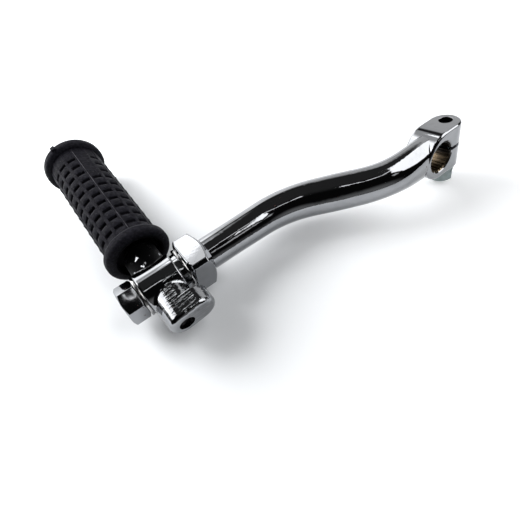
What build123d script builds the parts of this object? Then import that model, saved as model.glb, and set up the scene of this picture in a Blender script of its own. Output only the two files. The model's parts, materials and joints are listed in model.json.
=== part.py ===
from build123d import *
from math import sqrt, sin, cos, tan, acos, atan2, radians, degrees
import os

# Kick start lever with a folding pedal, all sizes in millimetres.
# The origin is the middle of the splined bore. The arm runs to minus X, the pedal
# points to plus Y (away from the engine) and the pinch bolt stands along Z.

# Clamp boss on the kick shaft
boss_width = 17.0
boss_top_z = 13.3
boss_bottom_z = -12.8
boss_back_x = -3.0
boss_wall_r = 11.2
ear_round_r = boss_width / 2
ear_round_x = 12.0
spline_teeth = 27
spline_tip_r = 7.75
spline_depth = 0.7
spline_tip_share = 0.42
spline_root_share = 0.34
bore_chamfer = 0.5
groove_overlap = 0.4
slit_width = 2.0
slit_z = 1.0
boss_edge_round = 1.5
boss_corner_r = 12.0

# Pinch bolt, M8, with a plain and a spring washer under the head
pinch_x = 13.3
pinch_r = 4.0
pinch_core_r = 3.3
pinch_head_flats = 12.0
pinch_head_height = 5.5
pinch_plain_thick = 1.6
pinch_plain_r = 7.0
pinch_spring_thick = 2.1
pinch_spring_r = 6.4
pinch_spring_gap = 0.8
pinch_end_depth = 2.6
pinch_lead = 0.6
pinch_shank_short = 0.5
pinch_head_lead = 0.8
pinch_split_turn = 20.0
tap_chamfer = 0.3
thread_clearance = 0.05
through_clearance = 0.3

# Pivot of the pedal: where it stands and how far the pedal rises out of the shaft direction
pivot_x = -157.0
pivot_y = 31.0
pedal_rise = 18.0

# Arm, an S bend between the boss and the pivot line
bend_angle = 33.0
bend_radius = 55.0
bend_start = 62.0
arm_end_dia = 17.2
arm_thick_dia = 20.0
arm_neck_dia = 19.6
arm_neck_flat = 1.0
arm_even_share = 0.06
arm_thick_share = 0.60
flare_length = 30.0
flare_inset_z = 1.3
flare_inset_y = 0.4
arm_tail_x = -4.0

# Square collar and the turned spindle, measured along the pivot line from the pedal axis
collar_face = 14.6
collar_length = 12.6
collar_flats = 22.0
collar_turned_r = 14.4
collar_rise = 14.0
collar_lead = 1.2
collar_cone = 30.0
collar_overlap = 3.0
collar_sink = 0.3
collar_edge = 0.8
shoulder_r = 9.4
journal_r = 7.0
running_clearance = 0.05
end_play = 0.1

# Washers and the spindle nut, M12
thrust_washer_thick = 1.2
thrust_washer_r = 11.2
nut_washer_thick = 1.4
nut_washer_r = 10.6
spindle_thread_r = 6.0
washer_clearance = 0.3
nut_flats = 18.0
nut_height = 9.0
nut_turn = 26.0
spindle_end = 0.3
spindle_lead = 0.8
hex_lead_in = 0.2
hex_cone = 30.0

# Pedal knuckle: hub round the spindle, detent lug toward the engine, peg for the rubber
hub_r = 11.0
hub_left = -9.6
hub_right = 10.2
hub_nose_r = 9.4
hub_nose = 2.4
hub_edge = 1.0
lug_face = -25.7
lug_half = 8.0
lug_left = -8.6
lug_right = 16.0
lug_start = -15.2
lug_edge = 2.4
lug_back_edge = 1.2
lug_turn = 6.0
neck_blend = 2.0
peg_r = 7.0
peg_root_r = 9.0
peg_root_end = 24.0
peg_end = 101.0
peg_lead = 1.5
peg_taper = 3.0

# Ball detent inside the lug: ball, spring and grub screw on one bore
detent_x = -0.5
ball_r = 3.0
ball_sink = 1.0
track_clearance = 0.25
grub_r = 4.0
grub_length = 6.0
grub_recess = 3.4
grub_socket_flats = 4.0
grub_socket_depth = 3.2
spring_wire_r = 0.4
spring_mean_r = 2.2
spring_turns = 4.0
spring_touch = 0.02

# Pedal rubber
rubber_start = 20.6
rubber_flange = 6.6
rubber_end = 109.2
rubber_body_r = 14.7
rubber_flange_rise = 2.7
rubber_flange_round = 2.4
rubber_rim_share = 0.9
rubber_dish_r = 12.5
rubber_dish_depth = 5.0
rubber_dish_draft = 1.0
peg_room = 1.0
tread_rows = 10
tread_first = 5.3
tread_pitch = 6.7
tread_pit = 2.8
tread_columns = 14
tread_rib = 1.6
tread_depth = 1.5
tread_turn = 9.6
stretch_fit = 0.02

# How far joined solids reach into each other, how far cuts run past a face, and when two places are one
join_depth = 1.0
cut_over = 5.0
near = 0.01

# Sizes that follow from the ones above
half_width = boss_width / 2
spline_root_r = spline_tip_r + spline_depth
thrust_left = hub_right + hub_nose + end_play
thrust_right = thrust_left + thrust_washer_thick
journal_left = hub_left - end_play
nut_right = journal_left - nut_washer_thick
nut_left = nut_right - nut_height
spindle_left = nut_left - spindle_end
collar_right = collar_face + collar_length
ball_y = -(journal_r - ball_sink + ball_r)
bore_r = ball_r + running_clearance
grub_outer = lug_face + grub_recess
grub_inner = grub_outer + grub_length
plain_seat_z = boss_bottom_z - pinch_plain_thick
rubber_flange_r = rubber_body_r + rubber_flange_rise
pinch_seat_z = plain_seat_z - pinch_spring_thick
os.makedirs("parts", exist_ok=True)


def along_x(radius, x0, x1):
    """A cylinder on the X axis from x0 to x1."""
    start = Plane((min(x0, x1), 0, 0), (0, 1, 0), (1, 0, 0))
    return Solid.make_cylinder(radius, abs(x1 - x0), start)


def along_y(radius, y0, y1, x=0.0):
    """A cylinder beside the Y axis from y0 to y1."""
    start = Plane((x, min(y0, y1), 0), (1, 0, 0), (0, 1, 0))
    return Solid.make_cylinder(radius, abs(y1 - y0), start)


def along_z(radius, z0, z1, x=0.0):
    """A cylinder beside the Z axis from z0 to z1."""
    return Solid.make_cylinder(radius, abs(z1 - z0), Plane((x, 0, min(z0, z1))))


def turned(points, axis):
    """A turned piece from (along, radius) points, revolved about X or Y."""
    if axis == "x":
        outline = Polyline(*[(a, r, 0) for a, r in points], close=True)
        return revolve(make_face(outline), Axis.X)
    outline = Polyline(*[(r, a, 0) for a, r in points], close=True)
    return revolve(make_face(outline), Axis.Y)


def hex_bar(flats, height, plane, turn=0.0):
    """A hexagon bar standing on the given plane."""
    face = plane * Rot(0, 0, turn) * RegularPolygon(flats / sqrt(3), 6)
    return extrude(face, height, dir=plane.z_dir)


def to_pedal(shape):
    """Move a shape from the pedal's own axes into the lever's frame."""
    return Pos(pivot_x, pivot_y, 0) * Rot(pedal_rise, 0, 0) * shape


# Arm path: straight on the pivot line, S bend, straight into the boss
arm_start = pivot_x + collar_right - collar_overlap
run = Line((arm_start, pivot_y), (pivot_x + bend_start, pivot_y))
first = JernArc(run @ 1, run % 1, bend_radius, -bend_angle)
drop = pivot_y - 2 * bend_radius * (1 - cos(radians(bend_angle)))
slope_length = drop / sin(radians(bend_angle))
slope = PolarLine(first @ 1, slope_length, -bend_angle)
second = JernArc(slope @ 1, slope % 1, bend_radius, bend_angle)
tail = Line(second @ 1, (arm_tail_x, 0))
path = Wire([run.edge(), first.edge(), slope.edge(), second.edge(), tail.edge()])


def arm_section(share):
    """An oval across the path at a share of its length, sized between the listed places."""
    for (t0, high0, wide0), (t1, high1, wide1) in zip(arm_sizes, arm_sizes[1:]):
        if t0 <= share <= t1:
            part = (share - t0) / (t1 - t0)
            part = part * part * (3 - 2 * part)
            high = high0 + (high1 - high0) * part
            wide = wide0 + (wide1 - wide0) * part
    plane = Plane(path.position_at(share), (0, 0, 1), path.tangent_at(share))
    return plane * Ellipse(high / 2, wide / 2)


flare_share = 1 - flare_length / path.length
arm_sizes = [
    (0.0, arm_end_dia, arm_end_dia),
    (arm_even_share, arm_end_dia, arm_end_dia),
    (arm_thick_share, arm_thick_dia, arm_thick_dia),
    (flare_share, arm_neck_dia, arm_neck_dia - arm_neck_flat),
    (1.0, boss_top_z - boss_bottom_z - 2 * flare_inset_z, boss_width - 2 * flare_inset_y),
]
arm_stations = 24
arm = loft([arm_section(i / arm_stations) for i in range(arm_stations + 1)])

# Boss: round wall about the bore, flat top, ear with a round end seen from above
ear_end = ear_round_x + ear_round_r
wall_z = boss_bottom_z + boss_wall_r
top_corner = (boss_back_x, boss_top_z)
reach = sqrt(boss_back_x ** 2 + (boss_top_z - wall_z) ** 2)
touch = degrees(atan2(boss_top_z - wall_z, boss_back_x) + acos(boss_wall_r / reach))


def on_wall(angle):
    """A point on the round wall, by its angle from plus X."""
    return (boss_wall_r * cos(radians(angle)), wall_z + boss_wall_r * sin(radians(angle)))


boss_outline = Polyline(
    (0, boss_bottom_z),
    (ear_end + cut_over, boss_bottom_z),
    (ear_end + cut_over, boss_top_z),
    top_corner,
    on_wall(touch),
)
boss_outline += ThreePointArc(on_wall(touch), on_wall((touch + 270) / 2), (0, boss_bottom_z))
boss_face = make_face(boss_outline)
boss_face = fillet(boss_face.vertices().sort_by_distance(top_corner)[0], boss_corner_r)
boss = extrude(Plane.XZ * boss_face, half_width, both=True)
ear_back = -boss_wall_r - cut_over
ear_plan = Pos((ear_round_x + ear_back) / 2, 0) * Rectangle(ear_round_x - ear_back, boss_width)
ear_plan += Pos(ear_round_x, 0) * Circle(ear_round_r)
ear_low = Pos(0, 0, boss_bottom_z - cut_over)
boss = boss & extrude(ear_low * ear_plan, boss_top_z - boss_bottom_z + 2 * cut_over)


def on_boss_rim(edge):
    """True for the edges round the two side faces and round the end of the ear."""
    middle = edge.center()
    on_side = abs(abs(middle.Y) - half_width) < near and abs(middle.X - ear_round_x) > near
    return on_side or middle.X > ear_end - near


boss = fillet(boss.edges().filter_by(on_boss_rim), boss_edge_round)

# Square collar with turned corners, in the pedal's own axes
collar = Pos((collar_face + collar_right) / 2, 0, 0) * Box(collar_length, collar_flats, collar_flats)
cone_run = (collar_turned_r - arm_end_dia / 2) * tan(radians(collar_cone))
collar_turning = turned([
    (collar_face, 0),
    (collar_face, collar_turned_r - 2 * collar_lead),
    (collar_face + collar_lead, collar_turned_r),
    (collar_right - cone_run, collar_turned_r),
    (collar_right, arm_end_dia / 2 - collar_sink),
    (collar_right, 0),
], "x")
collar = collar & collar_turning
collar_edges = collar.edges().filter_by(lambda e: e.center().X < collar_right - near)
collar = fillet(collar_edges, collar_edge)

# Spindle turned on the end of the arm, with a track for the detent ball
spindle = along_x(shoulder_r, thrust_right, collar_face + join_depth)
spindle += along_x(journal_r, journal_left, collar_face + join_depth)
spindle += turned([
    (spindle_left, 0),
    (spindle_left, spindle_thread_r - spindle_lead),
    (spindle_left + spindle_lead, spindle_thread_r),
    (journal_left + join_depth, spindle_thread_r),
    (journal_left + join_depth, 0),
], "x")
track_plane = Plane((detent_x, 0, 0), (0, 1, 0), (1, 0, 0))
spindle -= Solid.make_torus(-ball_y, ball_r + track_clearance, track_plane)

collar = Rot(collar_rise - pedal_rise, 0, 0) * collar
kick_arm = arm + boss + to_pedal(collar) + to_pedal(spindle)

# Splined bore: a round hole to the tooth tips, with a groove between each pair of teeth
pitch = 360.0 / spline_teeth
tip_gap = pitch * (1 - spline_tip_share) / 2
root_half = pitch * spline_root_share / 2


def polar(radius, angle):
    """A point by its distance from the bore's middle and its angle."""
    return (radius * cos(radians(angle)), radius * sin(radians(angle)))


groove = make_face(Polyline(
    polar(spline_tip_r - groove_overlap, -tip_gap),
    polar(spline_tip_r, -tip_gap),
    polar(spline_root_r, -root_half),
    polar(spline_root_r, root_half),
    polar(spline_tip_r, tip_gap),
    polar(spline_tip_r - groove_overlap, tip_gap),
    close=True,
))
bore_shape = Circle(spline_tip_r)
for i in range(spline_teeth):
    bore_shape += Rot(0, 0, (i + 0.5) * pitch) * groove
bore = extrude(Plane.XZ * bore_shape, boss_width, both=True)
kick_arm -= bore
for side in (-1, 1):
    rim = spline_root_r + bore_chamfer
    kick_arm -= Solid.make_cone(rim, rim - 2 * bore_chamfer, 2 * bore_chamfer,
                                Plane((0, side * half_width, 0), (1, 0, 0), (0, -side, 0)))

# Slit and pinch bolt hole
slit_end = ear_end + cut_over
kick_arm -= Pos(slit_end / 2, 0, slit_z) * Box(slit_end, boss_width + cut_over, slit_width)
through_r = pinch_r + through_clearance
kick_arm -= along_z(through_r, boss_bottom_z - cut_over, slit_z, pinch_x)
tap_r = pinch_core_r + thread_clearance
kick_arm -= along_z(tap_r, slit_z, boss_top_z + cut_over, pinch_x)
tap_mouth = Plane((pinch_x, 0, boss_top_z), (1, 0, 0), (0, 0, -1))
kick_arm -= Solid.make_cone(tap_r + tap_chamfer, tap_r - tap_chamfer, 2 * tap_chamfer, tap_mouth)

# Pinch bolt: hexagon head with a turned lead, shank through the lower ear, thread core in the upper one
pinch_end_z = boss_top_z - pinch_end_depth
shank_end_z = slit_z - slit_width / 2 - pinch_shank_short
head_low_z = pinch_seat_z - pinch_head_height
head_corner_r = pinch_head_flats / sqrt(3)
head_plane = Plane((pinch_x, 0, head_low_z))
bolt_head = hex_bar(pinch_head_flats, pinch_head_height, head_plane, 30)
head_flat_r = pinch_head_flats / 2 - hex_lead_in
head_turning = Solid.make_cone(head_flat_r, head_corner_r, pinch_head_lead, head_plane)
head_turning += along_z(head_corner_r, head_low_z + pinch_head_lead, pinch_seat_z, pinch_x)
pinch_bolt = bolt_head & head_turning
pinch_bolt += along_z(pinch_r, pinch_seat_z - join_depth, shank_end_z, pinch_x)
pinch_bolt += along_z(pinch_core_r, pinch_seat_z, pinch_end_z - pinch_lead, pinch_x)
pinch_bolt += Solid.make_cone(pinch_core_r, pinch_core_r - pinch_lead, pinch_lead,
                              Plane((pinch_x, 0, pinch_end_z - pinch_lead)))

# Washers under the bolt head: a plain ring and a split spring ring
through_hole = along_z(through_r, pinch_seat_z - cut_over, boss_bottom_z + cut_over, pinch_x)
pinch_plain_washer = along_z(pinch_plain_r, plain_seat_z, boss_bottom_z, pinch_x) - through_hole
pinch_spring_washer = along_z(pinch_spring_r, pinch_seat_z, plain_seat_z, pinch_x) - through_hole
split = Box(pinch_spring_gap, 2 * pinch_spring_r, 2 * cut_over)
pinch_spring_washer -= Pos(pinch_x, -pinch_spring_r, pinch_seat_z) * Rot(0, pinch_split_turn, 0) * split

# Washers on the spindle
thrust_washer = along_x(thrust_washer_r, thrust_left, thrust_right)
thrust_washer -= along_x(journal_r + washer_clearance, thrust_left - cut_over, thrust_right + cut_over)
nut_washer = along_x(nut_washer_r, nut_right, journal_left)
nut_washer -= along_x(spindle_thread_r + washer_clearance, nut_right - cut_over, journal_left + cut_over)

# Spindle nut, chamfered at both ends
pivot_nut = hex_bar(nut_flats, nut_height, Plane((nut_left, 0, 0), (0, 1, 0), (1, 0, 0)), nut_turn)
corner_r = nut_flats / sqrt(3)
nut_flat_r = nut_flats / 2 - hex_lead_in
nut_lead = (corner_r - nut_flat_r) * tan(radians(hex_cone))
pivot_nut = pivot_nut & turned([
    (nut_left, 0),
    (nut_left, nut_flat_r),
    (nut_left + nut_lead, corner_r),
    (nut_right - nut_lead, corner_r),
    (nut_right, nut_flat_r),
    (nut_right, 0),
], "x")
pivot_nut -= along_x(spindle_thread_r + thread_clearance, nut_left - cut_over, nut_right + cut_over)

# Pedal knuckle
hub = turned([
    (hub_left, 0),
    (hub_left, hub_r),
    (hub_right, hub_r),
    (hub_right, hub_nose_r),
    (hub_right + hub_nose, hub_nose_r),
    (hub_right + hub_nose, 0),
], "x")
hub_rims = hub.edges().filter_by(GeomType.CIRCLE).filter_by(lambda e: abs(e.radius - hub_r) < near)
hub = fillet(hub_rims, hub_edge)


def slot_bar(left, right, y0, y1):
    """A bar of slot section across the detent bore, from y0 down to y1."""
    plane = Plane(((left + right) / 2, y0, 0), (1, 0, 0), (0, -1, 0))
    return extrude(plane * SlotOverall(right - left, 2 * lug_half), y0 - y1, dir=(0, -1, 0))


lug_tilt = Rot(0, -lug_turn, 0)
hub += lug_tilt * slot_bar(lug_left, hub_right, 0, lug_start - join_depth)
blend_edges = hub.edges().filter_by(lambda e: e.geom_type in (GeomType.BSPLINE, GeomType.ELLIPSE))
hub = fillet(blend_edges, neck_blend)
lug = slot_bar(lug_left, lug_right, lug_start, lug_face)
lug = fillet(lug.edges().group_by(Axis.Y)[0], lug_edge)
lug = fillet(lug.edges().group_by(Axis.Y)[-1], lug_back_edge)
peg = turned([
    (0, 0),
    (0, peg_root_r),
    (peg_root_end - peg_taper, peg_root_r),
    (peg_root_end, peg_r),
    (peg_end - peg_lead, peg_r),
    (peg_end, peg_r - peg_lead),
    (peg_end, 0),
], "y")
pedal_knuckle = hub + lug_tilt * lug + peg
pedal_knuckle -= along_x(journal_r + running_clearance, hub_left - cut_over, thrust_left + cut_over)
pedal_knuckle -= along_y(bore_r, lug_face - cut_over, 0, detent_x)
pedal_knuckle -= along_y(grub_r + thread_clearance, lug_face - cut_over, grub_inner, detent_x)

# Detent pieces on the lug bore
detent_ball = Pos(detent_x, ball_y, 0) * Sphere(ball_r)
detent_screw = along_y(grub_r, grub_outer, grub_inner, detent_x)
socket_plane = Plane((detent_x, grub_outer, 0), (1, 0, 0), (0, 1, 0))
detent_screw -= hex_bar(grub_socket_flats, grub_socket_depth, socket_plane)
spring_low = grub_inner + spring_wire_r
spring_high = ball_y - sqrt((ball_r + spring_wire_r) ** 2 - spring_mean_r ** 2) - spring_touch
spring_plane = Plane((detent_x, spring_low, 0), (1, 0, 0), (0, 1, 0))
coil = Helix((spring_high - spring_low) / spring_turns, spring_high - spring_low, spring_mean_r)
wire_face = Plane(coil @ 0, z_dir=coil % 0) * RegularPolygon(spring_wire_r, 6)
detent_spring = spring_plane * sweep(wire_face, path=coil)

# Pedal rubber: two round flanges, dished near end, blind bore, waffle tread
dish_floor = rubber_start + rubber_dish_depth
blank = turned([
    (rubber_start, rubber_dish_r),
    (rubber_start, rubber_flange_r),
    (rubber_start + rubber_flange, rubber_flange_r),
    (rubber_start + rubber_flange, rubber_body_r),
    (rubber_end - rubber_flange, rubber_body_r),
    (rubber_end - rubber_flange, rubber_flange_r),
    (rubber_end, rubber_flange_r),
    (rubber_end, 0),
    (peg_end + peg_room, 0),
    (peg_end + peg_room, peg_r + stretch_fit),
    (dish_floor, peg_r + stretch_fit),
    (dish_floor, rubber_dish_r - rubber_dish_draft),
], "y")
rims = blank.edges().filter_by(GeomType.CIRCLE)
rims = rims.filter_by(lambda e: abs(e.radius - rubber_flange_r) < near)
blank = fillet(rims, min(rubber_flange_round, rubber_rim_share * rubber_flange_rise))
body_start = rubber_start + rubber_flange
pit_floor_r = rubber_body_r - tread_depth
column_angle = 360.0 / tread_columns
pit_width = 2 * rubber_body_r * sin(radians(column_angle / 2)) - tread_rib
pit = Pos(0, 0, pit_floor_r + tread_depth) * Box(pit_width, tread_pit, 2 * tread_depth)
pits = []
for row in range(tread_rows):
    y = body_start + tread_first + row * tread_pitch
    for column in range(tread_columns):
        turn = tread_turn + (column + 0.5) * column_angle
        pits.append(Rot(0, turn, 0) * Pos(0, y, 0) * pit)
pedal_rubber = blank - pits

pieces = {
    "kick_arm": kick_arm,
    "pinch_bolt": pinch_bolt,
    "pinch_plain_washer": pinch_plain_washer,
    "pinch_spring_washer": pinch_spring_washer,
    "thrust_washer": to_pedal(thrust_washer),
    "nut_washer": to_pedal(nut_washer),
    "pivot_nut": to_pedal(pivot_nut),
    "pedal_knuckle": to_pedal(pedal_knuckle),
    "pedal_rubber": to_pedal(pedal_rubber),
    "detent_ball": to_pedal(detent_ball),
    "detent_spring": to_pedal(detent_spring),
    "detent_screw": to_pedal(detent_screw),
}
for name, shape in pieces.items():
    solids = shape.solids()
    print(name, len(solids), round(shape.volume, 1))
    export_step(solids[0], f"parts/{name}.step")
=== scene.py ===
# %% [markdown]
# A chromed kick start lever, dressed for its picture. The solids of the lever
# come in as a fixed frame, in metres, and every piece made below stands where
# its solid stands. The steps go from the stage to the pieces to the finishes.

# %% Load the frame
import json
from math import atan2, cos, degrees, hypot, pi, radians, sin

import bpy
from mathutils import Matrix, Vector

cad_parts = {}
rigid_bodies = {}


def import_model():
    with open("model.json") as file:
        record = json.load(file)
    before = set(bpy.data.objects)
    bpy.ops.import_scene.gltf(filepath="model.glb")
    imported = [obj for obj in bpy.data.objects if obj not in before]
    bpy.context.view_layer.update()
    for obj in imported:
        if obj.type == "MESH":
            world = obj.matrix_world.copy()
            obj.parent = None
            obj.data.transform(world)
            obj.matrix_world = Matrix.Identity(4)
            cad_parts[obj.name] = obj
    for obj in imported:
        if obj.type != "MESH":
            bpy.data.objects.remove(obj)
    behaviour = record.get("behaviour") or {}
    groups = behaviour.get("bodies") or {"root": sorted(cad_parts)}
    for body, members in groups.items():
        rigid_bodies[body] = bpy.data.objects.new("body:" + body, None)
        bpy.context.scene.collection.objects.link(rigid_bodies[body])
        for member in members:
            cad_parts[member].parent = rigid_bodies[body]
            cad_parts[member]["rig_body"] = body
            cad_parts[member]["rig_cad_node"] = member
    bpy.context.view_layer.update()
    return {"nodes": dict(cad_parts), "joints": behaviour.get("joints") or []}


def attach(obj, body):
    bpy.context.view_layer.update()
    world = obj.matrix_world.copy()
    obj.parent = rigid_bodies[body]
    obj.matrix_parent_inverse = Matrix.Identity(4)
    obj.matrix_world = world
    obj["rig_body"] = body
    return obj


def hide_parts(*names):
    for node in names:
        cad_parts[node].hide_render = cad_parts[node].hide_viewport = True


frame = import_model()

MM = 0.001
scene = bpy.context.scene
scene.view_settings.view_transform = "Standard"

# %% [markdown]
# The pedal turns on the arm's own line. That line, and the way the pedal points,
# fix most of what follows: the rubber's axis, the tread and the floor. The hinge
# is read from the frame, and the pedal's rise is the one angle written here.

# %% Where the pedal stands
hinge = frame["joints"][0]
pivot = Vector(hinge["pos_m"])
pedal_rise = radians(18.0)
pedal_way = Vector((0, cos(pedal_rise), sin(pedal_rise)))
pedal_up = Vector((0, -sin(pedal_rise), cos(pedal_rise)))
side = Vector((1, 0, 0))
flange_r = 17.4 * MM
print("pivot", tuple(pivot), "pedal way", tuple(pedal_way))

# %% [markdown]
# The lever lies on the rubber's two flanges and on one corner of the bolt head.
# The lever keeps its own frame, so the floor leans instead: it is turned about
# the rubber's axis until it meets the lowest corner of the bolt. The lean is
# found by halving a range until nothing is left of it.

# %% Find the leaning floor
HALVINGS = 40
low_lean, high_lean = 0.0, radians(10)
bolt_points = [v.co.copy() for v in frame["nodes"]["pinch_bolt"].data.vertices]


def floor_way(lean):
    """The floor's normal when it is turned about the rubber's axis by lean."""
    return pedal_up * cos(lean) - side * sin(lean)


for _ in range(HALVINGS):
    lean = (low_lean + high_lean) / 2
    lowest = min(floor_way(lean).dot(p - pivot) for p in bolt_points)
    if lowest > -flange_r:
        low_lean = lean
    else:
        high_lean = lean
floor_up = floor_way(lean).normalized()
floor_point = pivot - floor_up * flange_r
floor_east = (side - floor_up * side.dot(floor_up)).normalized()
floor_north = floor_up.cross(floor_east)
print("floor normal", tuple(round(c, 4) for c in floor_up))

# %% [markdown]
# The picture was taken from very near with a wide lens, so the pedal looks large
# and the boss small. The camera stands where the lever's edges fall on the same
# pixels of a square picture. Its lens follows from a focal length in pixels.

# %% Camera
PICTURE = 520
SENSOR = 36.0
focal_pixels = 373.0
camera_place = (-0.16494, -0.11586, 0.11872)
camera_turn = (radians(46.449), radians(13.823), radians(-35.657))
nearest_seen = 5 * MM
bpy.ops.object.camera_add(location=camera_place, rotation=camera_turn)
camera = bpy.context.object
camera.name = "picture_camera"
camera.data.sensor_width = SENSOR
camera.data.lens = focal_pixels / PICTURE * SENSOR
camera.data.clip_start = nearest_seen
scene.camera = camera
print("camera", tuple(camera.location), "lens", round(camera.data.lens, 2))

# %% [markdown]
# The lever lies on a white sheet. A plane is enough for it, added large and
# turned to the lean that was found. Before any piece is added, everything is
# deselected, because an operator acts on all that is selected.

# %% Floor: the sheet
FLOOR_SIZE = 6.0


def deselect():
    """Leave object mode with nothing selected."""
    if bpy.context.object and bpy.context.object.mode != "OBJECT":
        bpy.ops.object.mode_set(mode="OBJECT")
    bpy.ops.object.select_all(action="DESELECT")


deselect()
bpy.ops.mesh.primitive_plane_add(
    size=FLOOR_SIZE,
    location=floor_point,
    rotation=floor_up.to_track_quat("Z", "Y").to_euler(),
)
floor = bpy.context.object
floor.name = "white_floor"
bpy.ops.object.transform_apply(location=True, rotation=True, scale=True)
print("floor", floor.name, FLOOR_SIZE, "m wide")

# %% [markdown]
# The sheet's paint is diffuse, so it takes the lever's shadow. A little painted
# glow of its own, none near the pedal and more of it away from it, keeps the
# sheet white out to the edge of the picture, for the eye and for what the chrome
# shows, and lightens the lever's shadow away from the pedal. Seen from beneath,
# the sheet lets the eye through, so that no view is shut off by it.

# %% Floor: its paint
PAPER = (0.785, 0.802, 0.82, 1)
glow_near, glow_far = 0.0, 0.34
glow_starts, glow_full = 45 * MM, 170 * MM


def new_material(name):
    """An empty node material with its output, ready for a shader."""
    material = bpy.data.materials.new(name)
    material.use_nodes = True
    nodes = material.node_tree.nodes
    for node in list(nodes):
        if node.type != "OUTPUT_MATERIAL":
            nodes.remove(node)
    return material, nodes, material.node_tree.links


def plug(links, socket, given):
    """Give a socket a plain number, or link another socket to it."""
    if isinstance(given, (int, float)):
        socket.default_value = given
    else:
        links.new(given, socket)


def math_node(nodes, links, operation, *values):
    """A Math node on sockets or plain numbers; gives its output."""
    node = nodes.new("ShaderNodeMath")
    node.operation = operation
    for socket, value in zip(node.inputs, values):
        plug(links, socket, value)
    return node.outputs[0]


def ramp(nodes, links, value, low, high, to_low=0.0, to_high=1.0):
    """Map a value from one range to another, smoothly and clamped."""
    node = nodes.new("ShaderNodeMapRange")
    node.interpolation_type = "SMOOTHSTEP"
    labels = ("Value", "From Min", "From Max", "To Min", "To Max")
    for label, given in zip(labels, (value, low, high, to_low, to_high)):
        plug(links, node.inputs[label], given)
    return node.outputs["Result"]


floor_paint, nodes, links = new_material("white_paper")
paper = nodes.new("ShaderNodeBsdfDiffuse")
paper.inputs["Color"].default_value = PAPER
path = nodes.new("ShaderNodeLightPath").outputs
seen = math_node(nodes, links, "MAXIMUM", path["Is Camera Ray"], path["Is Glossy Ray"])
seen = math_node(nodes, links, "MAXIMUM", seen, path["Is Transmission Ray"])
place = nodes.new("ShaderNodeTexCoord")
from_pivot = nodes.new("ShaderNodeVectorMath")
from_pivot.operation = "DISTANCE"
links.new(place.outputs["Object"], from_pivot.inputs[0])
from_pivot.inputs[1].default_value = pivot
away = from_pivot.outputs["Value"]
# Painted glow: none near the pedal and rising away from it, so it lightens the lever's shadow
# there.
glowing = ramp(nodes, links, away, glow_starts, glow_full, glow_near, glow_far)
glow = nodes.new("ShaderNodeEmission")
links.new(math_node(nodes, links, "MULTIPLY", seen, glowing), glow.inputs["Strength"])
both = nodes.new("ShaderNodeAddShader")
links.new(paper.outputs[0], both.inputs[0])
links.new(glow.outputs[0], both.inputs[1])
clear = nodes.new("ShaderNodeBsdfTransparent")
facing = nodes.new("ShaderNodeNewGeometry")
sheet = nodes.new("ShaderNodeMixShader")
links.new(facing.outputs["Backfacing"], sheet.inputs[0])
links.new(both.outputs[0], sheet.inputs[1])
links.new(clear.outputs[0], sheet.inputs[2])
links.new(sheet.outputs[0], nodes["Material Output"].inputs["Surface"])
floor.data.materials.append(floor_paint)
print("floor paint", floor_paint.name, PAPER[:3])

# %% [markdown]
# Chrome shows the room, so the room is drawn with care. A picture of a room could
# be wrapped round the scene, but here each light is worked out from its direction,
# so nothing has to be read from a file. A pane has straight edges, as a window
# has, because chrome draws those edges sharply, and a patch is round and soft.

# %% World: a room to draw on
world = bpy.data.worlds.new("studio")
scene.world = world
world.use_nodes = True
nodes, links = world.node_tree.nodes, world.node_tree.links
heading = nodes.new("ShaderNodeTexCoord")


def sky_way(azimuth, elevation):
    """A direction by its bearing on the floor and its height above it, in degrees."""
    a, e = radians(azimuth), radians(elevation)
    return (floor_east * cos(a) + floor_north * sin(a)) * cos(e) + floor_up * sin(e)


def sky_ramp(way, low, high, level=1.0):
    """A light level that rises as the heading's share along a direction goes from low to high."""
    dot = nodes.new("ShaderNodeVectorMath")
    dot.operation = "DOT_PRODUCT"
    dot.inputs[1].default_value = way
    links.new(heading.outputs["Generated"], dot.inputs[0])
    return ramp(nodes, links, dot.outputs["Value"], low, high, 0.0, level)


def sky_patch(azimuth, elevation, inner, outer, level):
    """A round patch of light on the room's wall; sizes in degrees from its middle."""
    return sky_ramp(sky_way(azimuth, elevation), cos(radians(outer)), cos(radians(inner)), level)


def sky_pane(corners, soft, level):
    """A pane of light between corners given in order; its edge is soft by some degrees."""
    ways = [sky_way(*corner) for corner in corners]
    centre = sum(ways, Vector())
    share = None
    for first, second in zip(ways, ways[1:] + ways[:1]):
        inward = first.cross(second).normalized()
        if inward.dot(centre) < 0:
            inward = -inward
        edge = sky_ramp(inward, 0.0, sin(radians(soft)), 1.0 if share else level)
        share = math_node(nodes, links, "MULTIPLY", share, edge) if share else edge
    return share


print("room", world.name)

# %% [markdown]
# The room is dark, with a window on the right, a bright wall behind on the left
# and a grey wall between them, which a dark round takes a bite out of. A row of
# lamp tubes overhead draws the thin line along the arm. Bearings and heights are
# in degrees. A level of 1 is white as the floor is white, and a window is brighter
# than that, as real ones are.

# %% World: its lights
WHITE, SILVER, GREY, DIM = 3.4, 1.05, 0.95, 0.8
CURTAIN, TUBE = 0.9, 2.2
window = [
    (-60, 60), (-61, 38), (-52, 24), (-42, 12), (-30, 14), (5, 44), (24, 55), (18, 66), (-20, 70),
]
back_window = [(106, 55), (112, 47), (138, 18), (152, 18), (150, 32), (132, 52)]
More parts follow.
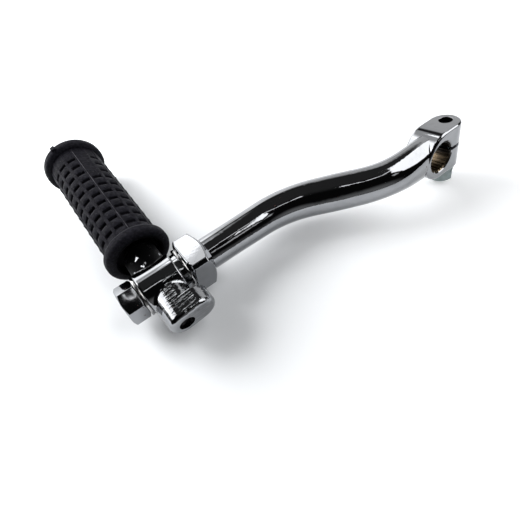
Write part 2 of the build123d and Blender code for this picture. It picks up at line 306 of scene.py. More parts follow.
# A pane has its corners, how soft its edge is in degrees, and its level.
panes = {
    "window": (window, 2, WHITE),
    "window_gap": ([(-73, 50.5), (-73, 40), (-63, 40), (-63, 50)], 2, CURTAIN),
    "near_tube": ([(-20, 65.5), (-20, 68.5), (-62, 69.5), (-62, 66.5)], 1, TUBE),
    "far_tube": ([(-60, 66.8), (-60, 71), (-92, 74.5), (-92, 70.5)], 1, TUBE),
    "last_tube": ([(-92, 70.5), (-92, 74.5), (-130, 81), (-130, 75)], 1, TUBE),
    "back_wall": ([(73, 35), (73, -20), (152, -20), (152, 35)], 9, WHITE),
    "wall_head": ([(66.5, 52), (66.5, 28), (126, 28), (126, 46)], 5, DIM),
    "back_window": (back_window, 2, WHITE),
    "small_window": ([(71.5, 46.2), (72.5, 40), (84, 40), (84, 49)], 1.5, WHITE),
    "window_head": ([(68, 52), (68, 43), (100, 48.5), (100, 57)], 2, SILVER),
}
# A patch has its bearing and height, how far out it is full and where it ends, and its level.
patches = {
    "wall_foot": (75, -5, 5, 25, DIM),
    "viewer_side": (-100, -5, 10, 38, 0.25),
    "ceiling": (60, 65, 20, 50, 0.04),
}
lights = [sky_pane(*pane) for pane in panes.values()]
lights += [sky_patch(*patch) for patch in patches.values()]
grey_wall = sky_pane([(4, 56), (4, -12), (76, -12), (76, 40)], 4, GREY)
dark_middle, dark_inner, dark_outer = (90, 61), radians(35), radians(44)
off_dark = sky_ramp(-sky_way(*dark_middle), -cos(dark_inner), -cos(dark_outer))
lights.append(math_node(nodes, links, "MULTIPLY", grey_wall, off_dark))
print("lights", sorted(panes), sorted(patches), "and a grey wall")

# %% [markdown]
# All lights are added up over a faint level that nothing falls below. The eye
# itself sees plain white: a Light Path node tells what the eye sees from what
# lights the lever or shows in its chrome.

# %% World: put together
ROOM_LEVEL = 0.006
level = ROOM_LEVEL
for light in lights:
    level = math_node(nodes, links, "ADD", light, level)
shown = nodes.new("ShaderNodeMix")
shown.data_type = "FLOAT"
path = nodes.new("ShaderNodeLightPath").outputs
links.new(path["Is Camera Ray"], shown.inputs[0])
links.new(level, shown.inputs[2])
shown.inputs[3].default_value = 1.0
room = nodes["Background"]
room.inputs["Color"].default_value = (1, 1, 1, 1)
links.new(shown.outputs[0], room.inputs["Strength"])
print("world", world.name, "lights on the wall", len(lights))

# %% [markdown]
# The rubber's shadow is narrow, and those of the knuckle and the arm fall toward
# the viewer and are longer than they are high. So the one lamp stands low behind
# the far end of the rubber. Its size sets how soft the shadows are. It does not
# show in the chrome: the panes on the wall do that.

# %% Lamp
lamp_way = sky_way(114, 35)
lamp_away, lamp_size, lamp_watts = 0.5, 0.28, 3.0
bpy.ops.object.light_add(type="AREA", location=pivot + lamp_way * lamp_away)
lamp = bpy.context.object
lamp.name = "key_lamp"
lamp.rotation_euler = lamp_way.to_track_quat("Z", "Y").to_euler()
lamp.data.size = lamp_size
lamp.data.energy = lamp_watts
lamp.visible_glossy = False
print("lamp", lamp.name, lamp_watts, "W")

# %% [markdown]
# The foot rests on a moulded rubber sleeve with a fat rim at each end and a dish
# in the near one, where the peg goes in. Its outline is a list of places, each so
# far along the axis and so far out from it. Two edges of every row of pits are
# among them, so that the pits can be cut between rings.

# %% Rubber: the outline
PIT_ROWS = 10
pit_first, pit_pitch, pit_long = 32.5 * MM, 6.7 * MM, 2.3 * MM
sleeve_near, sleeve_far = 20.6 * MM, 109.2 * MM
rim_long, rim_round = 6.6 * MM, 2.4 * MM
lip = 0.8 * MM
LIP_STEPS = 4
END_SHARE = 0.8
body_r = 14.7 * MM
dish_r, dish_deep = 12.4 * MM, 5.0 * MM
bore_r, bore_end = 7.02 * MM, 102.0 * MM
body_near, body_far = sleeve_near + rim_long, sleeve_far - rim_long
rim_r = flange_r - rim_round
dish_floor = sleeve_near + dish_deep


def round_rim(along, radius, size, first, last, steps=6):
    """Places on a quarter round about (along, radius), from one angle to another in degrees."""
    places = []
    for step in range(steps + 1):
        turn = radians(first + (last - first) * step / steps)
        places.append((along + size * cos(turn), radius + size * sin(turn)))
    return places


near_places = round_rim(body_near - rim_round, rim_r, rim_round, 0, 90)
near_places += round_rim(sleeve_near + rim_round, rim_r, rim_round, 90, 180)
near_places += round_rim(sleeve_near + lip, dish_r + lip, lip, 180, 270, LIP_STEPS)
near_places += [
    (dish_floor - lip, dish_r - lip),
    (dish_floor, dish_r - 2 * lip),
    (dish_floor, bore_r),
    (bore_end, bore_r),
]
far_places = []
for row in range(PIT_ROWS):
    pit = pit_first + row * pit_pitch
    far_places += [(pit - pit_long / 2, body_r), (pit + pit_long / 2, body_r)]
far_places += [(body_far - rim_round, body_r), (body_far, body_r)]
far_places += round_rim(body_far + rim_round, rim_r, rim_round, 180, 90)
far_places += round_rim(sleeve_far - rim_round, rim_r, rim_round, 90, 0)
far_places += [(sleeve_far, rim_r * END_SHARE)]
print("outline", len(near_places), "places to the near end,", len(far_places), "to the far end")

# %% [markdown]
# A lathe would make such a shape. Here a ring of edges is pulled from place to
# place along the axis and made wider or narrower on the way, first to the far end
# and then, from the open edge that is left, to the near end. The ring has eight
# slices for each of the tread's columns, so ribs and pits fall on its edges.

# %% Rubber: pull the sleeve from a ring
COLUMNS = 14
SLICES = 8
RING = COLUMNS * SLICES


def pull_rings(start, places):
    """Extrude the selected ring of edges through places given as (along, radius)."""
    along, radius = start
    for next_along, next_radius in places:
        step = (0, 0, next_along - along)
        bpy.ops.mesh.extrude_region_move(TRANSFORM_OT_translate={"value": step})
        share = next_radius / radius
        bpy.ops.transform.resize(value=(share, share, 1), center_override=(0, 0, next_along))
        along, radius = next_along, next_radius


deselect()
bpy.ops.mesh.primitive_circle_add(vertices=RING, radius=body_r, location=(0, 0, body_near))
sleeve = bpy.context.object
sleeve.name = "moulded_rubber_sleeve"
bpy.ops.object.transform_apply(location=True)
bpy.ops.object.mode_set(mode="EDIT")
bpy.ops.mesh.select_mode(type="EDGE")
bpy.ops.mesh.select_all(action="SELECT")
pull_rings((body_near, body_r), far_places)
bpy.ops.mesh.edge_face_add()
bpy.ops.mesh.select_all(action="DESELECT")
bpy.ops.mesh.select_non_manifold()
pull_rings((body_near, body_r), near_places)
bpy.ops.mesh.edge_face_add()
bpy.ops.mesh.select_all(action="SELECT")
bpy.ops.mesh.normals_make_consistent(inside=False)
bpy.ops.object.mode_set(mode="OBJECT")
print("sleeve", len(sleeve.data.vertices), "points")

# %% [markdown]
# The tread is a grid of pits between ribs that run along the sleeve. Picking its
# faces one by one would take an hour by hand. In code each face says where it is:
# the slice round the axis tells rib from pit, and the distance along it the row.

# %% Rubber: find places on the sleeve
SLICE_TURN = 360 / RING
RIDGE_SLICES = 53
RIDGE_TURN = 180 - RIDGE_SLICES * SLICE_TURN
NUDGE = 0.001
wall_touch = 0.05 * MM


def on_sleeve(point):
    """A point's place: along the axis, out from it, column and slice in the column."""
    turn = degrees(atan2(point.x, -point.y)) - RIDGE_TURN
    slices = (turn / SLICE_TURN + NUDGE) % RING
    return point.z, hypot(point.x, point.y), int(slices // SLICES), slices % SLICES


def row_of(along):
    """The row of pits that holds a place along the sleeve, or None between rows."""
    row = round((along - pit_first) / pit_pitch)
    inside = abs(along - pit_first - row * pit_pitch) < pit_long / 2
    return row if inside and 0 <= row < PIT_ROWS else None


def in_body(along, out):
    """True for the tread's own wall, between the two rims."""
    return body_near < along < body_far and abs(out - body_r) < wall_touch


def choose(piece, kind, wanted):
    """Select a mesh's faces or vertices by their place, and go to edit mode."""
    bpy.ops.object.mode_set(mode="EDIT")
    bpy.ops.mesh.select_mode(type=kind)
    bpy.ops.mesh.select_all(action="DESELECT")
    bpy.ops.object.mode_set(mode="OBJECT")
    items = piece.data.polygons if kind == "FACE" else piece.data.vertices
    count = 0
    for item in items:
        item.select = wanted(item.center if kind == "FACE" else item.co)
        count += item.select
    bpy.ops.object.mode_set(mode="EDIT")
    return count


print("tread", COLUMNS, "columns,", round(SLICE_TURN, 2), "degrees to a slice")

# %% [markdown]
# Pits are inset and sunk, ribs are raised a little, and the pad between two pits
# gets a low peak, so that it catches the light. In the column beside the mould's
# ridge the last rows were never filled out. A displacement could do all this, but
# it would need a far finer mesh.

# %% Rubber: ribs, pits and pads
pit_deep, pit_draft = 1.3 * MM, 0.35 * MM
rib_rise = 0.2 * MM
pad_rise = 0.75 * MM
BLANK_COLUMN, BLANK_ROW = 0, 7
RIB_HALF = 1


def rows_in(column):
    """How many rows of pits a column has."""
    return BLANK_ROW if column == BLANK_COLUMN else PIT_ROWS


def between_ribs(part):
    """True for the slices of a column that no rib takes up."""
    return RIB_HALF < part < SLICES - RIB_HALF


def in_pit(point):
    """True for a face that is sunk into a pit."""
    along, out, column, part = on_sleeve(point)
    row = row_of(along)
    has_pit = row is not None and row < rows_in(column)
    return in_body(along, out) and has_pit and between_ribs(part)


def on_rib(point):
    """True for a face of the ribs along the sleeve."""
    along, out, _, part = on_sleeve(point)
    return in_body(along, out) and not between_ribs(part)


def on_pad(point):
    """True for a face between two pits of one column."""
    along, out, column, part = on_sleeve(point)
    last_pit = pit_first + (rows_in(column) - 1) * pit_pitch
    between_pits = pit_first < along < last_pit and row_of(along) is None
    return in_body(along, out) and between_pits and between_ribs(part)


pits = choose(sleeve, "FACE", in_pit)
bpy.ops.mesh.inset(thickness=pit_draft, depth=-pit_deep)
ribs = choose(sleeve, "FACE", on_rib)
bpy.ops.mesh.extrude_region_shrink_fatten(TRANSFORM_OT_shrink_fatten={"value": rib_rise})
pads = choose(sleeve, "FACE", on_pad)
bpy.ops.mesh.dissolve_faces()
bpy.ops.mesh.poke(offset=pad_rise)
bpy.ops.object.mode_set(mode="OBJECT")
print("tread: pit faces", pits, "rib faces", ribs, "pad faces", pads)

# %% [markdown]
# Two halves of a mould leave a thin ridge where they meet, along one rib and the
# rib across from it, and a small nub where the rubber was let in. The ridge is a
# bevelled edge with its middle lifted. The nub is a small block of faces on the
# far rim, inset and pulled out.

# %% Rubber: mould ridge and nub
RIDGE_COLUMNS = (0, COLUMNS // 2)
ON_EDGE = 0.1
ridge_half, ridge_rise = 0.22 * MM, 0.3 * MM
nub_turn, nub_half_turn = -19.0, 5.0
nub_inset, nub_rise = 0.2 * MM, 1.2 * MM
rim_touch = 0.1 * MM


def on_ridge(point):
    """True for a point on the two lines where the mould's halves meet."""
    along, out, column, part = on_sleeve(point)
    on_top = body_near < along < body_far and out > body_r + rib_rise / 2
    return on_top and column in RIDGE_COLUMNS and part < ON_EDGE


def on_nub(point):
    """True for the faces of the far rim that the nub stands on."""
    turn = degrees(atan2(point.x, -point.y))
    on_rim = abs(hypot(point.x, point.y) - flange_r) < rim_touch and point.z > body_far
    return on_rim and abs(turn - nub_turn) < nub_half_turn


ridge_points = choose(sleeve, "VERT", on_ridge)
bpy.ops.mesh.select_mode(type="EDGE")
bpy.ops.mesh.bevel(offset=ridge_half, segments=2, affect="EDGES")
choose(sleeve, "VERT", on_ridge)
bpy.ops.transform.shrink_fatten(value=ridge_rise)
nub_faces = choose(sleeve, "FACE", on_nub)
bpy.ops.mesh.inset(thickness=nub_inset, depth=0)
bpy.ops.mesh.extrude_region_shrink_fatten(TRANSFORM_OT_shrink_fatten={"value": nub_rise})
bpy.ops.object.mode_set(mode="OBJECT")
print("ridge points", ridge_points, "nub faces", nub_faces)

# %% [markdown]
# Moulded rubber has no sharp edge anywhere, so a narrow bevel rounds the pits, ribs
# and nub, and the slivers that it leaves are dissolved. The sleeve was made upright
# on its own axis. Now it is laid along the pedal, and it takes the place of the
# plain solid.

# %% Rubber: soft edges, then into place
SOFT_ANGLE = radians(24)
rubber_edge = 0.14 * MM
sliver = 0.001 * MM


def soften(piece, width, segments=2):
    """Round a piece's sharp edges with a bevel and shade it smooth between those left sharp."""
    bpy.context.view_layer.objects.active = piece
    bevel = piece.modifiers.new("soft_edges", "BEVEL")
    bevel.width = width
    bevel.segments = segments
    bevel.limit_method = "ANGLE"
    bevel.angle_limit = SOFT_ANGLE
    bpy.ops.object.modifier_apply(modifier="soft_edges")
    bpy.ops.object.shade_smooth_by_angle(angle=SOFT_ANGLE)


deselect()
sleeve.select_set(True)
soften(sleeve, rubber_edge)
bpy.ops.object.mode_set(mode="EDIT")
bpy.ops.mesh.select_all(action="SELECT")
bpy.ops.mesh.dissolve_degenerate(threshold=sliver)
bpy.ops.object.mode_set(mode="OBJECT")
sleeve.rotation_euler = (pedal_rise - pi / 2, 0, 0)
sleeve.location = pivot
bpy.ops.object.transform_apply(location=True, rotation=True, scale=True)
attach(sleeve, "pedal")
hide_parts("pedal_rubber")
print("sleeve", len(sleeve.data.polygons), "faces")

# %% [markdown]
# Washers, nut and bolt are turned or stamped, so none has a knife edge. A copy of
# each solid is welded, its flats are joined into whole faces, and a narrow bevel
# breaks the edges. The rounded edge is what catches the light on a small part.

# %% Fasteners with broken edges
edge_of = {
    "pinch_plain_washer": 0.2 * MM,
    "pinch_spring_washer": 0.2 * MM,
    "thrust_washer": 0.15 * MM,
    "nut_washer": 0.2 * MM,
    "pivot_nut": 0.25 * MM,
    "pinch_bolt": 0.25 * MM,
}
weld = 0.002 * MM
flat_within = radians(0.5)
fasteners = {}
for name, edge in edge_of.items():
    node = frame["nodes"][name]
    deselect()
    node.select_set(True)
    bpy.context.view_layer.objects.active = node
    bpy.ops.object.duplicate()
    piece = bpy.context.object
    piece.name = "soft_" + name
    del piece["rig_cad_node"]
    bpy.ops.mesh.customdata_custom_splitnormals_clear()
    bpy.ops.object.mode_set(mode="EDIT")
    bpy.ops.mesh.select_all(action="SELECT")
    bpy.ops.mesh.remove_doubles(threshold=weld)
    bpy.ops.mesh.dissolve_limited(angle_limit=flat_within)
    bpy.ops.object.mode_set(mode="OBJECT")
    soften(piece, edge)
    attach(piece, node["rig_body"])
    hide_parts(name)
    fasteners[name] = piece
print("fasteners", {name: len(piece.data.polygons) for name, piece in fasteners.items()})

# %% [markdown]
# Several finishes share two effects, and each is built once as a node group. One
# is the slow waviness that a polishing wheel leaves, which bends reflections, with
# a haze of its own. The other is a scatter of specks, where plating has pits, dust
# lies or rust has come through. Scales are in cycles to a metre.

# %% Shared effects
FINE_TIMES = 9.0
haze_scale, patchy_scale = 140.0, 60.0
speck_level, speck_sway, speck_edge = 0.86, 0.1, 0.04


def effect(name, inputs, outputs):
    """A new shader node group with named number inputs and outputs."""
    group = bpy.data.node_groups.new(name, "ShaderNodeTree")
    kind = "NodeSocketFloat"
    for label, value in inputs.items():
        socket = group.interface.new_socket(label, in_out="INPUT", socket_type=kind)
        socket.default_value = value
    for label in outputs:
        group.interface.new_socket(label, in_out="OUTPUT", socket_type=kind)
    start = group.nodes.new("NodeGroupInput")
    end = group.nodes.new("NodeGroupOutput")
    return group, group.nodes, group.links, start.outputs, end.inputs


def noise(nodes, links, scale, detail=2.0, vector=None):
    """A noise texture on object coordinates; scale is in cycles to a metre."""
    texture = nodes.new("ShaderNodeTexNoise")
    texture.inputs["Detail"].default_value = detail
    plug(links, texture.inputs["Scale"], scale)
    if vector is None:
        vector = nodes.new("ShaderNodeTexCoord").outputs["Object"]
    links.new(vector, texture.inputs["Vector"])
    return texture.outputs["Fac"]


wave_inputs = {"Scale": 90.0, "Fine": 0.1}
wheel_waves, nodes, links, given, made = effect("wheel_waves", wave_inputs, ["Height", "Haze"])
slow = noise(nodes, links, given["Scale"], detail=1.0)
fine_scale = math_node(nodes, links, "MULTIPLY", given["Scale"], FINE_TIMES)
fine = noise(nodes, links, fine_scale, detail=3.0)
fine = math_node(nodes, links, "MULTIPLY", fine, given["Fine"])
links.new(math_node(nodes, links, "ADD", slow, fine), made["Height"])
links.new(noise(nodes, links, haze_scale, detail=4.0), made["Haze"])

speck_inputs = {"Scale": 700.0, "Amount": 0.12}
specks, nodes, links, given, made = effect("specks", speck_inputs, ["Mask"])
grain = noise(nodes, links, given["Scale"], detail=1.0)
patchy = noise(nodes, links, patchy_scale, detail=1.0)
sway = math_node(nodes, links, "MULTIPLY", patchy, speck_sway)
edge = math_node(nodes, links, "SUBTRACT", speck_level, given["Amount"])
edge = math_node(nodes, links, "SUBTRACT", edge, sway)
dots = math_node(nodes, links, "SUBTRACT", grain, edge)
links.new(ramp(nodes, links, dots, 0.0, speck_edge), made["Mask"])
print("effects", [group.name for group in bpy.data.node_groups])

# %% [markdown]
# A finish is one Principled shader with textures led into it. These few helpers
# make the shader, place an effect, mix two colours by a mask and turn a height
# into a bump, so that each finish below reads as a short list of what it has.

# %% Helpers for finishes


def shader(material_name):
    """A material with one Principled shader joined to its output."""
    material, nodes, links = new_material(material_name)
    surface = nodes.new("ShaderNodeBsdfPrincipled")
    links.new(surface.outputs[0], nodes["Material Output"].inputs["Surface"])
    return material, nodes, links, surface


def use_effect(nodes, group, **values):
    """Place an effect in a material with its own values; gives its outputs."""
    node = nodes.new("ShaderNodeGroup")
    node.node_tree = group
    for label, value in values.items():
        node.inputs[label].default_value = value
    return node.outputs


def mixed(nodes, links, share, first, second):
    """Mix two colours by a mask; each colour is a socket or three numbers."""
    node = nodes.new("ShaderNodeMix")
    node.data_type = "RGBA"
    links.new(share, node.inputs[0])
    for socket, colour in ((node.inputs[6], first), (node.inputs[7], second)):
        if isinstance(colour, tuple):
            socket.default_value = (*colour, 1)
        else:
            links.new(colour, socket)
    return node.outputs[2]


def bump(nodes, links, height, distance, under=None):
    """A bump from a height, its depth in metres, over another bump where one is given."""
    node = nodes.new("ShaderNodeBump")
    node.inputs["Distance"].default_value = distance
    links.new(height, node.inputs["Height"])
    if under:
        links.new(under, node.inputs["Normal"])
    return node.outputs["Normal"]


print("helpers", [helper.__name__ for helper in (shader, use_effect, mixed, bump)])

# %% [markdown]
# Bright chrome on forged steel is a mirror with a slight waviness. Dust and
# fingers haze it in places, and rust shows as brown specks where the plating has
# pits. Zinc, bare steel and black oxide differ in colour, roughness and scale, so
# every metal here starts from one function that lays these over a colour.

# %% Chrome and the other metals
RUST = (0.07, 0.03, 0.02)
BRIGHT, HAZED = (0.28, 0.286, 0.298), (0.255, 0.261, 0.272)
ZINC, DULL_ZINC = (0.24, 0.28, 0.28), (0.16, 0.19, 0.19)
STEEL, DULL_STEEL = (0.42, 0.42, 0.42), (0.30, 0.30, 0.30)
OXIDE, DULL_OXIDE = (0.03, 0.03, 0.032), (0.05, 0.045, 0.04)
haze_starts, haze_full = 0.42, 0.72
speck_rough = 0.4


def metal(name, colour, dull, rough, waves, depth, speck_amount):
    """A worn metal: two colours and two roughnesses by haze, wave scale and depth, specks."""
    material, nodes, links, surface = shader(name)
    surface.inputs["Metallic"].default_value = 1.0
    wheel = use_effect(nodes, wheel_waves, Scale=waves)
    spots = use_effect(nodes, specks, Amount=speck_amount)["Mask"]
    haze = ramp(nodes, links, wheel["Haze"], haze_starts, haze_full)
    body = mixed(nodes, links, haze, colour, dull)
    links.new(mixed(nodes, links, spots, body, RUST), surface.inputs["Base Color"])
    gloss = ramp(nodes, links, haze, 0.0, 1.0, *rough)
    spotted = math_node(nodes, links, "MULTIPLY", spots, speck_rough)
    gloss = math_node(nodes, links, "ADD", gloss, spotted)
    links.new(gloss, surface.inputs["Roughness"])
    links.new(bump(nodes, links, wheel["Height"], depth), surface.inputs["Normal"])
    return material


# A metal has its colours, roughness clean and hazed, waves to a metre, their depth, and specks.
arm_chrome = metal("arm_chrome_plate", BRIGHT, HAZED, (0.03, 0.07), 70, 0.08 * MM, 0.04)
knuckle_chrome = metal("knuckle_chrome_plate", BRIGHT, HAZED, (0.05, 0.12), 90, 0.06 * MM, 0.05)
nut_chrome = metal("nut_chrome_plate", BRIGHT, HAZED, (0.1, 0.18), 70, 0.05 * MM, 0.05)
zinc = metal("zinc_plate", ZINC, DULL_ZINC, (0.30, 0.45), 500, 0.05 * MM, 0.06)
steel = metal("bright_steel", STEEL, DULL_STEEL, (0.12, 0.28), 300, 0.03 * MM, 0.08)
black_steel = metal("black_oxide", OXIDE, DULL_OXIDE, (0.35, 0.5), 500, 0.03 * MM, 0.06)
metals = (arm_chrome, knuckle_chrome, nut_chrome, zinc, steel, black_steel)
print("metals", [made_metal.name for made_metal in metals])

# %% [markdown]
# Plating does not reach everywhere. The splined bore is bare steel, tan below
# and darkened above with painted shade, and the tapped hole is painted near black
# as shade. Each hole could have been a face group with a material of its own, but
# the solid's mesh must stay as it is, so a mask by distance from the hole's line
# lays the dull colour over the chrome.

# %% Bare steel and painted shade in the holes
BARE_STEEL, UPPER_BORE_SHADE = (0.17, 0.13, 0.085), (0.05, 0.046, 0.042)
RECESS_SHADE = (0.003, 0.003, 0.0035)
bare_rough, upper_bore_rough, hole_rough = 0.28, 0.35, 0.5
bore_wall, hole_wall = 8.55 * MM, 3.6 * MM
mask_edge = 0.1 * MM
bore_shade_starts, bore_shade_full = -5 * MM, -1 * MM
shaft_way, pinch_way = Vector((0, 1, 0)), Vector((0, 0, 1))
bore_middle, pinch_line = Vector(), Vector((13.3 * MM, 0, 0))


def from_point(nodes, links, origin):
    """A surface point's place as seen from origin."""
    shift = nodes.new("ShaderNodeVectorMath")
    shift.operation = "SUBTRACT"
    place = nodes.new("ShaderNodeTexCoord")
    links.new(place.outputs["Object"], shift.inputs[0])
    shift.inputs[1].default_value = origin
    return shift.outputs["Vector"]


def off_axis(nodes, links, origin, way):
    """How far a surface point lies from a line through origin, in metres."""
    cross = nodes.new("ShaderNodeVectorMath")
    cross.operation = "CROSS_PRODUCT"
    links.new(from_point(nodes, links, origin), cross.inputs[0])
    cross.inputs[1].default_value = way
    length = nodes.new("ShaderNodeVectorMath")
    length.operation = "LENGTH"
    links.new(cross.outputs["Vector"], length.inputs[0])
    return length.outputs["Value"]


def along_axis(nodes, links, origin, way):
    """How far a surface point lies along a direction from origin, in metres."""
    dot = nodes.new("ShaderNodeVectorMath")
    dot.operation = "DOT_PRODUCT"
    links.new(from_point(nodes, links, origin), dot.inputs[0])
    dot.inputs[1].default_value = way
    return dot.outputs["Value"]


def overlay(material, share, colour, rough):
    """Lay a dull colour and a roughness over a material where the mask says so."""
    nodes, links = material.node_tree.nodes, material.node_tree.links
    surface = nodes["Principled BSDF"]
    body = surface.inputs["Base Color"].links[0].from_socket
    gloss = surface.inputs["Roughness"].links[0].from_socket
    links.new(mixed(nodes, links, share, body, colour), surface.inputs["Base Color"])
    rougher = math_node(nodes, links, "MULTIPLY", share, rough)
    links.new(math_node(nodes, links, "MAXIMUM", gloss, rougher), surface.inputs["Roughness"])


nodes, links = arm_chrome.node_tree.nodes, arm_chrome.node_tree.links
shaft_off = off_axis(nodes, links, bore_middle, shaft_way)
in_bore = ramp(nodes, links, shaft_off, bore_wall, bore_wall - mask_edge)
overlay(arm_chrome, in_bore, BARE_STEEL, bare_rough)
# Painted shade: the bore is darkened over its upper part.
bore_height = along_axis(nodes, links, bore_middle, pinch_way)
bore_high = ramp(nodes, links, bore_height, bore_shade_starts, bore_shade_full)
painted_bore_shade = math_node(nodes, links, "MULTIPLY", in_bore, bore_high)
overlay(arm_chrome, painted_bore_shade, UPPER_BORE_SHADE, upper_bore_rough)
# Painted shade: the tapped hole is made near black.
pinch_off = off_axis(nodes, links, pinch_line, pinch_way)
in_hole = ramp(nodes, links, pinch_off, hole_wall, hole_wall - mask_edge)
overlay(arm_chrome, in_hole, RECESS_SHADE, hole_rough)
print("bare steel inside", round(bore_wall / MM, 2), "mm of the shaft's axis")

# %% [markdown]
# The pedal's peg carries painted shade, near black, where it goes into the
# rubber's dish, and is left bright in a few spots on top. The hub is clean, so
# the mask begins just outside the hub's own wall, and the specks effect takes
# those spots out of it.

# %% Painted shade at the peg
hub_wall, hub_clear = 11.0 * MM, 0.02 * MM
peg_starts, peg_full = 2 * MM, 4 * MM
top_starts, top_full = 3 * MM, 5 * MM
peg_rough = 0.6
nodes, links = knuckle_chrome.node_tree.nodes, knuckle_chrome.node_tree.links
hinge_off = off_axis(nodes, links, pivot, side)
off_hub = ramp(nodes, links, hinge_off, hub_wall + hub_clear, hub_wall + mask_edge)
pedal_along = along_axis(nodes, links, pivot, pedal_way)
at_peg = ramp(nodes, links, pedal_along, peg_starts, peg_full)
painted_peg_shade = math_node(nodes, links, "MULTIPLY", off_hub, at_peg)
pedal_high = along_axis(nodes, links, pivot, pedal_up)
on_upper = ramp(nodes, links, pedal_high, top_starts, top_full)
flecks = use_effect(nodes, specks, Scale=420.0, Amount=0.17)["Mask"]
shade_gaps = math_node(nodes, links, "MULTIPLY", flecks, on_upper)
painted_peg_shade = math_node(nodes, links, "SUBTRACT", painted_peg_shade, shade_gaps)
painted_peg_shade = ramp(nodes, links, painted_peg_shade, 0.0, 1.0)
# Painted shade: the peg is made near black inside the rubber's dish.
overlay(knuckle_chrome, painted_peg_shade, RECESS_SHADE, peg_rough)
print("dirt from", round(peg_full / MM, 1), "mm along the pedal")

# %% [markdown]
# The knuckle was ground by hand before it was plated, and the grinding left fine
# ripples on the lug's flat top. They are far too shallow to model, but they break
# every reflection into streaks, so they go in as a second bump over the first.

# %% Grinding ripples on the knuckle
ripple_stretch = (160.0, 650.0, 650.0)
ripple_deep = 0.32 * MM
lug_starts, lug_full, hub_share = -3 * MM, -8 * MM, 0.1
flat_starts, flat_full, round_share = -2 * MM, 1.5 * MM, 0.15
place = nodes.new("ShaderNodeTexCoord")
stretch = nodes.new("ShaderNodeMapping")
stretch.inputs["Scale"].default_value = ripple_stretch
links.new(place.outputs["Object"], stretch.inputs["Vector"])
ripples = noise(nodes, links, 1.0, vector=stretch.outputs["Vector"])
on_lug = ramp(nodes, links, pedal_along, lug_starts, lug_full, hub_share)
arm_along = along_axis(nodes, links, pivot, side)
on_flat = ramp(nodes, links, arm_along, flat_starts, flat_full, round_share)
for share in (on_lug, on_flat):
    ripples = math_node(nodes, links, "MULTIPLY", ripples, share)
surface = nodes["Principled BSDF"]
wheel_bump = surface.inputs["Normal"].links[0].from_socket
rippled = bump(nodes, links, ripples, ripple_deep, wheel_bump)
links.new(rippled, surface.inputs["Normal"])
print("ripples", ripple_stretch, "cycles to a metre")

# %% [markdown]
# The rubber is nearly black. What stands highest is rubbed paler by boots and
# dust, and the pits are darkened with painted shade, so the colour follows the
# distance from the sleeve's own axis, with specks of dust over it. A fine grain
# breaks up the shine.

# %% Rubber finish: body, painted shade in the pits, and dust
PAINTED_PIT_SHADE, RUBBED = (0.004, 0.0039, 0.0054), (0.0127, 0.0124, 0.0172)
DUST = (0.028, 0.028, 0.032)
rubber_shine = 0.05
cloud_scale, grain_scale, grain_deep = 160.0, 900.0, 0.3 * MM
cloud_from, cloud_to = 0.3, 0.7
grain_from, grain_to, grain_least = 0.35, 0.7, 0.2
rubber_rough = (0.48, 0.66)
crest_top = body_r + rib_rise + ridge_rise
rubber, nodes, links, surface = shader("moulded_rubber")
surface.inputs["Specular IOR Level"].default_value = rubber_shine
height = off_axis(nodes, links, pivot, pedal_way)
high = ramp(nodes, links, height, body_r - pit_deep, crest_top)
cloudy = noise(nodes, links, cloud_scale, detail=5.0)
soft_grain = noise(nodes, links, grain_scale)
speckled = ramp(nodes, links, soft_grain, grain_from, grain_to, grain_least)
# Painted shade in the pits, and paler rubbed rubber on what stands highest.
rubbed_and_pit_shade = math_node(nodes, links, "MULTIPLY", high, speckled)
body = mixed(nodes, links, rubbed_and_pit_shade, PAINTED_PIT_SHADE, RUBBED)
dust = use_effect(nodes, specks, Scale=800.0, Amount=0.11)["Mask"]
dusty = math_node(nodes, links, "MULTIPLY", dust, high)
body = mixed(nodes, links, dusty, body, DUST)
gloss = ramp(nodes, links, cloudy, cloud_from, cloud_to, *rubber_rough)
links.new(gloss, surface.inputs["Roughness"])
grain = noise(nodes, links, grain_scale, detail=4.0)
links.new(bump(nodes, links, grain, grain_deep), surface.inputs["Normal"])
print("rubber", rubber.name)

# %% [markdown]
# The crest of the mould's ridge carries a painted highlight, the palest colour on
# the rubber. It is too thin for a face group to be worth it, so masks find it:
# near the ridge's plane, at the height of the crest, on the tread between the
# rims, and broken up by the same clouds.

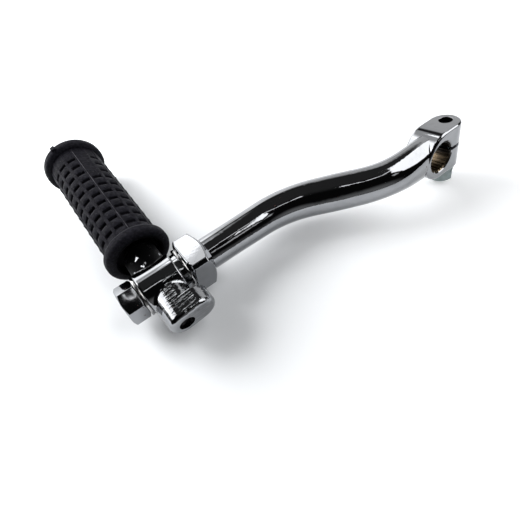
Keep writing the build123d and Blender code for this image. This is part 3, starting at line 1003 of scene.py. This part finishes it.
# %% Rubber finish: painted highlight on the ridge's crest
CREST_HIGHLIGHT = (0.09, 0.09, 0.1)
crest_low, crest_full = crest_top - 0.25 * MM, crest_top - 0.1 * MM
tread_edge = 0.2 * MM
break_from, break_to, break_least = 0.4, 0.6, 0.2
ridge_way = side * cos(radians(RIDGE_TURN)) - pedal_up * sin(radians(RIDGE_TURN))
off_plane = along_axis(nodes, links, pivot, ridge_way)
off_plane = math_node(nodes, links, "ABSOLUTE", off_plane)
tread_half = (body_far - body_near) / 2
tread_middle = pivot + pedal_way * (body_near + tread_half)
off_middle = along_axis(nodes, links, tread_middle, pedal_way)
off_middle = math_node(nodes, links, "ABSOLUTE", off_middle)
# The mask for the painted highlight along the ridge's crest.
crest_highlight = ramp(nodes, links, off_plane, 2 * ridge_half, ridge_half)
at_top = ramp(nodes, links, height, crest_low, crest_full)
on_tread = ramp(nodes, links, off_middle, tread_half, tread_half - tread_edge)
broken = ramp(nodes, links, cloudy, break_from, break_to, break_least)
for share in (at_top, on_tread, broken):
    crest_highlight = math_node(nodes, links, "MULTIPLY", crest_highlight, share)
links.new(mixed(nodes, links, crest_highlight, body, CREST_HIGHLIGHT), surface.inputs["Base Color"])
print("crest at", round(crest_top / MM, 2), "mm from the sleeve's axis")

# %% [markdown]
# Each piece gets its finish now: chrome for the arm, the knuckle and the nut, zinc
# for the bolt and its washers, bare steel for what lies between. The ball and the
# spring are hidden inside the knuckle, but they get their steel too.

# %% Finishes on their pieces
finish_of = {
    "kick_arm": arm_chrome,
    "pedal_knuckle": knuckle_chrome,
    "pivot_nut": nut_chrome,
    "pinch_bolt": zinc,
    "pinch_plain_washer": zinc,
    "pinch_spring_washer": zinc,
    "thrust_washer": steel,
    "nut_washer": steel,
    "detent_ball": steel,
    "detent_spring": steel,
    "detent_screw": black_steel,
    "pedal_rubber": rubber,
}
shown_piece = {**frame["nodes"], **fasteners, "pedal_rubber": sleeve}
for name, material in finish_of.items():
    mesh = shown_piece[name].data
    mesh.materials.clear()
    mesh.materials.append(material)
print("finished", len(finish_of), "pieces")
